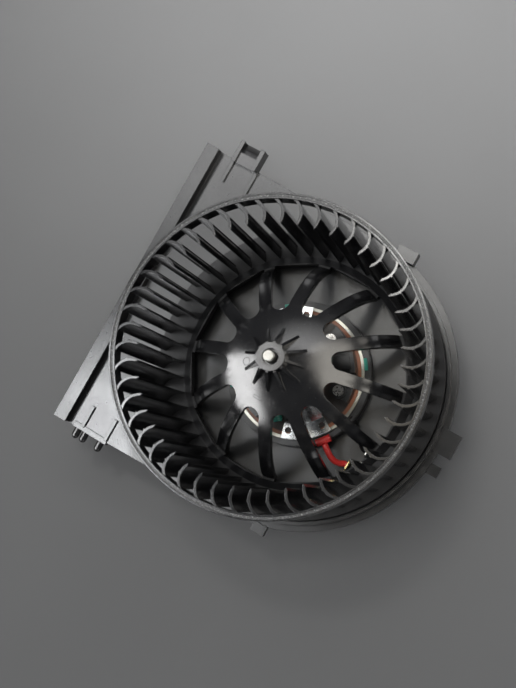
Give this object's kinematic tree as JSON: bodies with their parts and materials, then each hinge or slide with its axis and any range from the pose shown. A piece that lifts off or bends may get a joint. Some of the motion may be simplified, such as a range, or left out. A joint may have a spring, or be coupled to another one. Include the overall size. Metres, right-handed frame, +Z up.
{
  "type": "heater blower motor",
  "caption": "Squirrel-cage blower wheel with a spoked dome hub on a brushed motor, carried by a moulded base with a side wing, latch, locating pins and plug socket; blows heater air.",
  "frame": {"origin": "on the motor axis, at the flat underside of the motor cup on which it stands", "axes": "+Z up the motor axis towards the wheel's open inlet, -X towards the wing, +Y towards the latch"},
  "size_m": [0.2011, 0.1908, 0.136],
  "materials": {
    "wheel_plastic": "semi-gloss black moulding, worn pale on the rim",
    "base_plastic": "semi-gloss black moulding",
    "socket_plastic": "satin black moulding",
    "shaft_steel": "ground steel",
    "core_steel": "stacked laminations",
    "winding_copper": "enamelled copper wire",
    "commutator_copper": "turned copper",
    "fibre": "pressed fibre",
    "terminal_brass": "stamped brass",
    "terminal_tin": "tinned stamping",
    "red_sleeve": "glossy red sleeve",
    "black_sleeve": "glossy black sleeve",
    "rubber": "moulded rubber",
    "can_steel": "zinc-plated drawn steel",
    "ferrite": "sintered ferrite",
    "spring_steel": "spring steel",
    "bearing_bronze": "sintered bronze",
    "bracket_steel": "zinc-plated stamping",
    "card_laminate": "brown phenolic laminate",
    "holder_plastic": "black moulding",
    "screw_steel": "zinc-plated",
    "guide_plastic": "glossy black moulding",
    "damper_foam": "green foam rubber",
    "carbon": "pressed carbon",
    "choke_enamel": "green varnished coil"
  },
  "bodies": {
    "stator": {"base_housing": "base_plastic", "connector_socket": "socket_plastic", "terminal_positive": "terminal_brass", "terminal_negative": "terminal_tin", "red_lead": "red_sleeve", "black_lead": "black_sleeve", "red_boot": "red_sleeve", "black_boot": "black_sleeve", "damper_pads": "damper_foam", "lower_isolator": "rubber", "upper_isolator": "rubber", "motor_can": "can_steel", "magnet_a": "ferrite", "magnet_b": "ferrite", "magnet_clips": "spring_steel", "lower_bearing": "bearing_bronze", "lower_bearing_retainer": "spring_steel", "upper_bearing": "bearing_bronze", "upper_bearing_cap": "spring_steel", "end_bracket": "bracket_steel", "brush_card": "card_laminate", "brush_holder_a": "holder_plastic", "brush_holder_b": "holder_plastic", "holder_screws": "screw_steel", "brush_guide_a": "guide_plastic", "brush_guide_b": "guide_plastic", "brush_spring_a": "spring_steel", "brush_spring_b": "spring_steel", "choke_a": "choke_enamel", "choke_b": "choke_enamel"},
    "rotor": {"wheel_rim": "wheel_plastic", "wheel_blades": "wheel_plastic", "wheel_back_ring": "wheel_plastic", "wheel_spokes": "wheel_plastic", "wheel_hub": "wheel_plastic", "motor_shaft": "shaft_steel", "armature_core": "core_steel", "armature_windings": "winding_copper", "commutator": "commutator_copper", "thrust_washers": "fibre"},
    "brush_a_slider": {"brush_a": "carbon"},
    "brush_b_slider": {"brush_b": "carbon"}
  },
  "joints": [
    {"name": "fan_spin", "type": "hinge", "parent": "stator", "child": "rotor", "pos_m": [0, 0, 0.1], "axis": [0, 0, 1], "continuous": true},
    {"name": "brush_a_slide", "type": "slide", "parent": "stator", "child": "brush_a_slider", "axis": [0.788, 0.6157, 0], "range_m": [0, 0.004], "stiffness_N_per_m": 100, "springref_m": -0.02, "deforming": ["brush_spring_a"]},
    {"name": "brush_b_slide", "type": "slide", "parent": "stator", "child": "brush_b_slider", "axis": [-0.788, -0.6157, 0], "range_m": [0, 0.004], "stiffness_N_per_m": 100, "springref_m": -0.02, "deforming": ["brush_spring_b"]}
  ]
}
